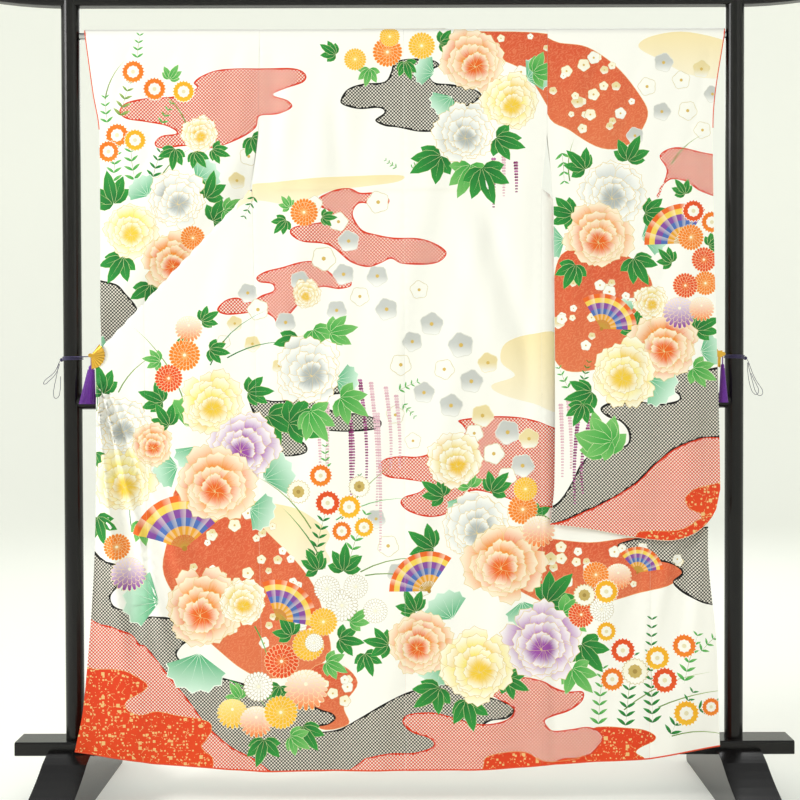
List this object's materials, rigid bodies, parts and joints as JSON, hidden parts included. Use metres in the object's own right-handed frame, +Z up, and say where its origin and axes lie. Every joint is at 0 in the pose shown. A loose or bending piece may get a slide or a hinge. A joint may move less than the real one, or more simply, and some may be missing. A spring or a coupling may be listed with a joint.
{
  "type": "furisode on a kimono stand",
  "caption": "Long-sleeved silk kimono hung from its shoulders on a lacquered stand, back outwards, with both fronts opened sideways by fan clips and hanging full length.",
  "frame": {"origin": "on the floor, midway between the two feet of the stand", "axes": "+Z up, +X along the rails towards the wearer's right sleeve, -Y towards the side that the back of the garment faces"},
  "size_m": [1.81, 0.54, 1.782],
  "materials": {
    "printed_silk": "satin silk, dyed with flowers and clouds on an ivory ground, lined",
    "collar_silk": "ivory silk, folded double",
    "black_lacquer": "gloss black lacquer",
    "rod_steel": "satin",
    "gilt": "gilt, polished",
    "purple_cord": "twisted silk"
  },
  "bodies": {
    "root": {"back_left": "printed_silk", "back_right": "printed_silk", "front_left": "printed_silk", "front_right": "printed_silk", "okumi_left": "printed_silk", "okumi_right": "printed_silk", "sleeve_left": "printed_silk", "sleeve_right": "printed_silk", "collar": "collar_silk", "post_left": "black_lacquer", "post_right": "black_lacquer", "foot_left": "black_lacquer", "foot_right": "black_lacquer", "top_rail": "black_lacquer", "top_rail_end_left": "black_lacquer", "top_rail_end_right": "black_lacquer", "middle_rail": "black_lacquer", "base_beam": "black_lacquer", "garment_rod": "rod_steel", "fan_clip_left": "gilt", "fan_clip_right": "gilt", "tassel_left": "purple_cord", "tassel_right": "purple_cord", "tie_cord_left": "purple_cord", "tie_cord_right": "purple_cord", "tie_bow_left": "purple_cord", "tie_bow_right": "purple_cord"}
  },
  "joints": []
}
